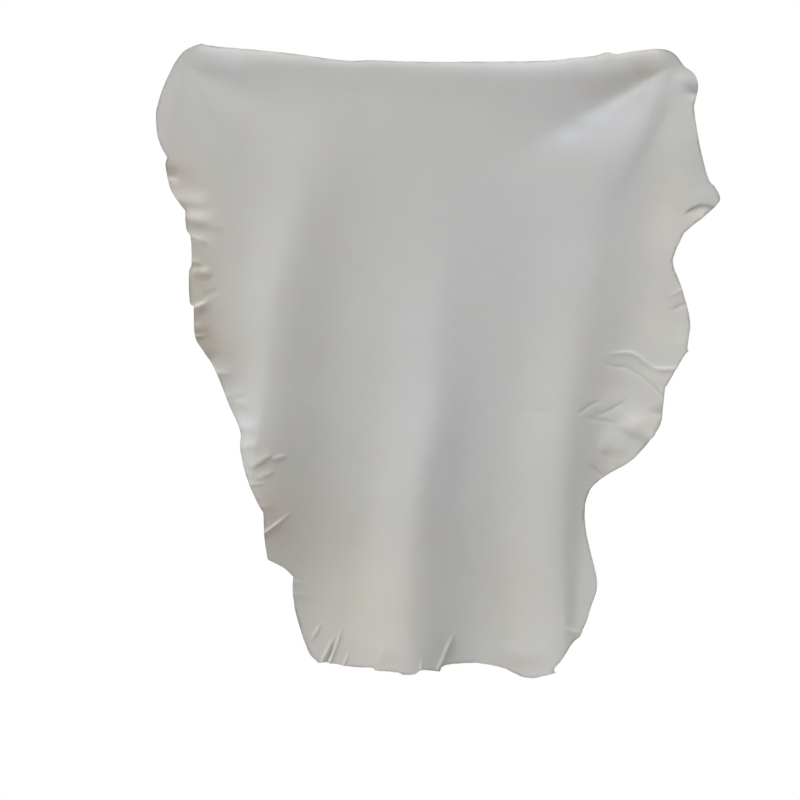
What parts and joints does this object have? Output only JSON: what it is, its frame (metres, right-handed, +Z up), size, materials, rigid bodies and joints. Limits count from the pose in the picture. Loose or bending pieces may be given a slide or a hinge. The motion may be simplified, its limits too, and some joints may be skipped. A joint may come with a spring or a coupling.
{
  "type": "chamois leather cloth",
  "caption": "Whole natural chamois leather, soft and off-white, hanging from its top corners, with an uneven cut edge, long soft folds and small wrinkles by its sides.",
  "frame": {"origin": "middle of the top edge, where the hanging skin is held", "axes": "+X across to the viewer's right, +Y away from the viewer, +Z up; the napped front faces -Y"},
  "size_m": [0.6469, 0.0366, 0.7315],
  "materials": {
    "chamois": "matte napped suede, off-white, a little creamier by the side edges"
  },
  "bodies": {
    "root": {"hide": "chamois"}
  },
  "joints": []
}
